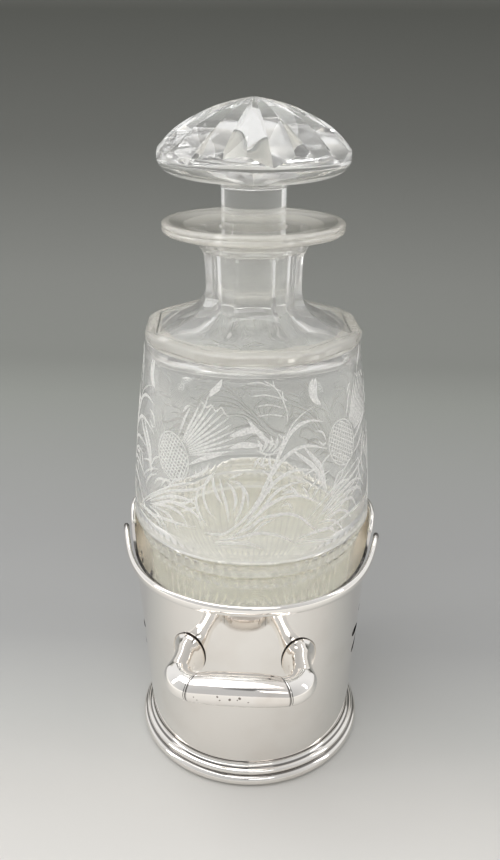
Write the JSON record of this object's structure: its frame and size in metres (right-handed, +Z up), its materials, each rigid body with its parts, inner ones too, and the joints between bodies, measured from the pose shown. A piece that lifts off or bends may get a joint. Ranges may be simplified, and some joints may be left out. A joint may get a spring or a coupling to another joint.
{
  "type": "cut glass decanter in a silver stand",
  "caption": "Cut and engraved glass decanter with a mushroom stopper, standing in a pierced silver holder with one bar handle.",
  "frame": {"origin": "middle of the underside of the stand's floor, in the plane that it stands on", "axes": "+Z up along the decanter's axis; the handle points along -Y; +X to the right as seen from the handle's side"},
  "size_m": [0.108, 0.1286, 0.2693],
  "materials": {
    "crystal": "polished and cut lead crystal",
    "silver": "polished silver sheet",
    "bright_silver": "bright polished silver wire and castings"
  },
  "bodies": {
    "stand": {"stand_floor": "silver", "stand_wall": "silver", "foot_moulding": "silver", "front_rim_wire": "bright_silver", "rear_rim_wire": "bright_silver", "handle_arm_left": "bright_silver", "handle_arm_right": "bright_silver", "handle_grip": "bright_silver", "grip_collar_left": "bright_silver", "grip_collar_right": "bright_silver"},
    "decanter": {"decanter_bottle": "crystal"},
    "stopper": {"stopper": "crystal"}
  },
  "joints": [
    {"name": "decanter_lift", "type": "slide", "parent": "stand", "child": "decanter", "axis": [0, 0, 1], "range_m": [0, 0.125]},
    {"name": "stopper_lift", "type": "slide", "parent": "decanter", "child": "stopper", "axis": [0, 0, 1], "range_m": [0, 0.045]}
  ]
}
